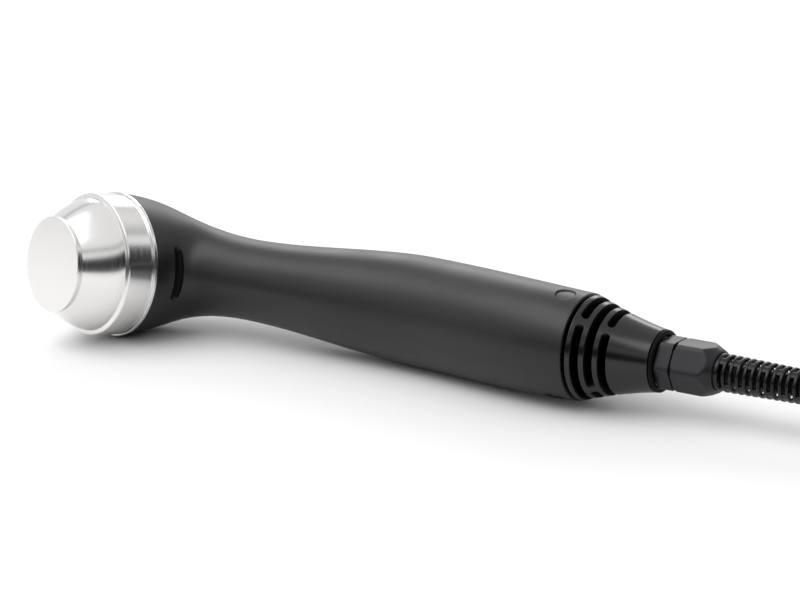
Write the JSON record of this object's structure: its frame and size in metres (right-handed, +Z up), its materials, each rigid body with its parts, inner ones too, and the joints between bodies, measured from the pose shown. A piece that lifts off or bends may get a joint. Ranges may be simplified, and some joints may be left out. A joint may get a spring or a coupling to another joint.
{
  "type": "therapeutic ultrasound head",
  "caption": "Angled handheld ultrasound therapy head: flat metal treatment face, black one-piece handle, slotted tail boot, cable gland, bend relief and coiled lead with plug.",
  "frame": {"origin": "on the table the head rests on, below the middle of the head and handle, measured without the free cable, its coil and its plug", "axes": "+Z up; +X along the handle from the treatment head to the cable; the treatment face looks mainly to -Y and a little to -X and up"},
  "size_m": [0.4443, 0.0904, 0.0493],
  "materials": {
    "head_metal": "satin, turned",
    "handle_black": "matte, finely textured",
    "boot_black": "half matte",
    "gland_black": "half gloss",
    "seal_rubber": "matte",
    "relief_black": "satin",
    "cable_jacket": "satin",
    "strap_black": "woven",
    "crystal_ceramic": "matte",
    "brass_part": "turned",
    "carrier_plastic": "matte",
    "holder_plastic": "matte",
    "board_green": "coated",
    "chip_black": "matte",
    "capacitor_sleeve": "gloss",
    "ferrite": "matte",
    "copper_wire": "lacquered",
    "socket_white": "gloss",
    "lead_insulation": "satin",
    "plug_metal": "satin",
    "contact_gold": "plated"
  },
  "bodies": {
    "root": {"head_cup": "head_metal", "crystal_disc": "crystal_ceramic", "crystal_ring": "brass_part", "contact_holder": "holder_plastic", "contact_pin": "contact_gold", "clamp_ring": "brass_part", "carrier_ring": "carrier_plastic", "carrier_seal": "seal_rubber", "handle_shell": "handle_black", "board_former_front": "carrier_plastic", "board_former_rear": "carrier_plastic", "matching_board": "board_green", "board_terminals": "contact_gold", "tuning_core": "ferrite", "tuning_winding": "copper_wire", "board_chips": "chip_black", "board_capacitors": "capacitor_sleeve", "lead_socket": "socket_white", "crystal_lead": "lead_insulation", "ground_lead": "cable_jacket", "inner_leads": "lead_insulation", "tail_boot": "boot_black", "gland_locknut": "gland_black", "gland_seal": "seal_rubber", "gland_body": "gland_black", "gland_grommet": "seal_rubber", "gland_nut": "gland_black", "bend_relief": "relief_black", "cable": "cable_jacket", "cable_coil": "cable_jacket", "cable_tie": "strap_black", "cable_end": "cable_jacket", "plug_relief": "relief_black", "plug_body": "gland_black", "plug_nose": "plug_metal", "plug_insert": "chip_black", "plug_pins": "contact_gold"}
  },
  "joints": []
}
